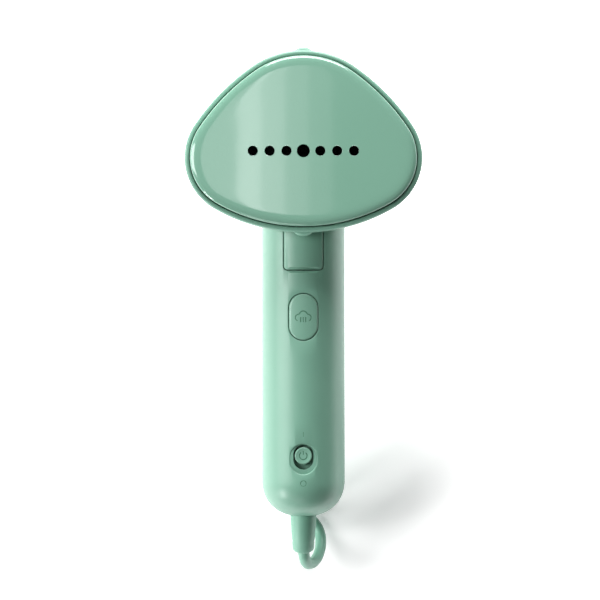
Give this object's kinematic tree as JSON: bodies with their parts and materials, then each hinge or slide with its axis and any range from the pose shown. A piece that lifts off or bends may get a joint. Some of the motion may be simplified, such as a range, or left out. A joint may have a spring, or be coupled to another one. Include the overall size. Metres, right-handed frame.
{
  "type": "garment steamer",
  "caption": "Hand-held garment steamer with a rounded triangular steam plate, a round handle, a head that folds back, a lift-off water tank, and a mains cord wound in a hank.",
  "frame": {"origin": "centre of the bounding box of the steamer without its cord, in the plane of the tank's flat back, on which the steamer lies", "axes": "+Z out of the steam plate, +Y from the handle to the top of the head, +X to the right seen from the plate"},
  "size_m": [0.1252, 0.2809, 0.094],
  "materials": {
    "mint_housing": "satin",
    "mint_plate": "polished",
    "mint_trigger": "satin",
    "mint_slider": "satin",
    "mint_vinyl": "satin",
    "cord_sheath": "satin",
    "tie_fabric": "woven",
    "tank_clear": "polished",
    "zinc_steel": "plated",
    "cast_aluminium": "as cast",
    "red_silicone": "matte",
    "clear_silicone": "satin",
    "black_nylon": "moulded",
    "circuit_board": "satin",
    "tinned_brass": "polished"
  },
  "bodies": {
    "handle": {"handle_front": "mint_housing", "handle_back": "mint_housing", "hinge_yoke": "zinc_steel", "hinge_pin": "zinc_steel", "pin_clip": "zinc_steel", "circuit_board": "circuit_board", "trigger_microswitch": "black_nylon", "power_switch": "black_nylon", "trigger_spring_upper": "zinc_steel", "trigger_spring_lower": "zinc_steel", "wire_live": "black_nylon", "wire_neutral": "black_nylon", "cord_boot": "mint_vinyl", "cord_clamp": "zinc_steel", "handle_screw_upper": "zinc_steel", "handle_screw_lower": "zinc_steel", "cord": "cord_sheath", "cord_hank": "cord_sheath", "cord_tie": "tie_fabric", "plug_body": "mint_vinyl", "plug_blade_left": "tinned_brass", "plug_blade_right": "tinned_brass"},
    "head": {"bezel": "mint_housing", "rear_housing": "mint_housing", "steam_plate": "mint_plate", "plate_gasket": "red_silicone", "steam_chamber": "cast_aluminium", "heating_element": "zinc_steel", "boiler_bracket": "zinc_steel", "thermostat": "black_nylon", "thermal_fuse": "zinc_steel", "water_pump": "black_nylon", "tank_hose": "clear_silicone", "boiler_hose": "clear_silicone", "valve_seat": "black_nylon", "valve_ring": "red_silicone", "neck_tongue": "mint_housing", "head_screw_left": "zinc_steel", "head_screw_right": "zinc_steel", "head_screw_top": "zinc_steel"},
    "tank": {"water_tank": "tank_clear", "tank_valve": "black_nylon", "cap_pin": "zinc_steel"},
    "cap": {"filler_cap": "mint_vinyl"},
    "trigger": {"steam_trigger": "mint_trigger"},
    "slider": {"power_slider": "mint_slider"}
  },
  "joints": [
    {"name": "head_fold", "type": "hinge", "parent": "handle", "child": "head", "pos_m": [0, 0.0338, 0.051], "axis": [-1, 0, 0], "range_deg": [0, 90]},
    {"name": "tank_lift", "type": "slide", "parent": "head", "child": "tank", "axis": [0, 1, 0], "range_m": [0, 0.085]},
    {"name": "cap_open", "type": "hinge", "parent": "tank", "child": "cap", "pos_m": [0, 0.12858, 0.0058], "axis": [-1, 0, 0], "range_deg": [0, 100]},
    {"name": "trigger_press", "type": "slide", "parent": "handle", "child": "trigger", "axis": [0, 0, -1], "range_m": [0, 0.002], "stiffness_N_per_m": 900, "springref_m": -0.0012, "deforming": ["trigger_spring_upper", "trigger_spring_lower"]},
    {"name": "power_slide", "type": "slide", "parent": "handle", "child": "slider", "axis": [0, -1, 0], "range_m": [0, 0.0024]}
  ]
}
